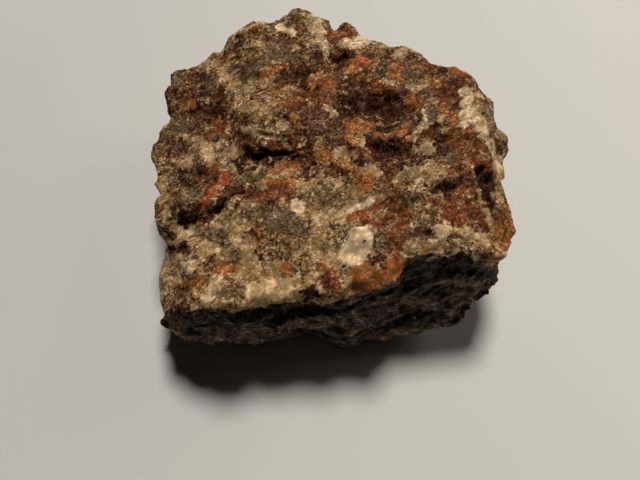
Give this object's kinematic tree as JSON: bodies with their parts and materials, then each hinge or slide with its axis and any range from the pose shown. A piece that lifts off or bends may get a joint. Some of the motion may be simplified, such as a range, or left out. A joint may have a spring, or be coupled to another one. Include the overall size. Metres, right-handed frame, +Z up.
{
  "type": "microdiorite",
  "caption": "Broken hand specimen of weathered microdiorite: a flattish angular chunk with a hackly rust-stained top and a steep dark front break, lying on a small flat spot",
  "frame": {"origin": "bottom centre of the stone's box, on the surface it lies on", "axes": "+Z up off the surface, the stone's shortest way; the steep dark break faces -Y; +X is to the right seen from the front"},
  "size_m": [0.0384, 0.0384, 0.0141],
  "materials": {
    "stone": "rough broken rock: olive-grey groundmass, rust and ochre staining, cream feldspar patches, near-black front break"
  },
  "bodies": {
    "root": {"microdiorite": "stone"}
  },
  "joints": []
}
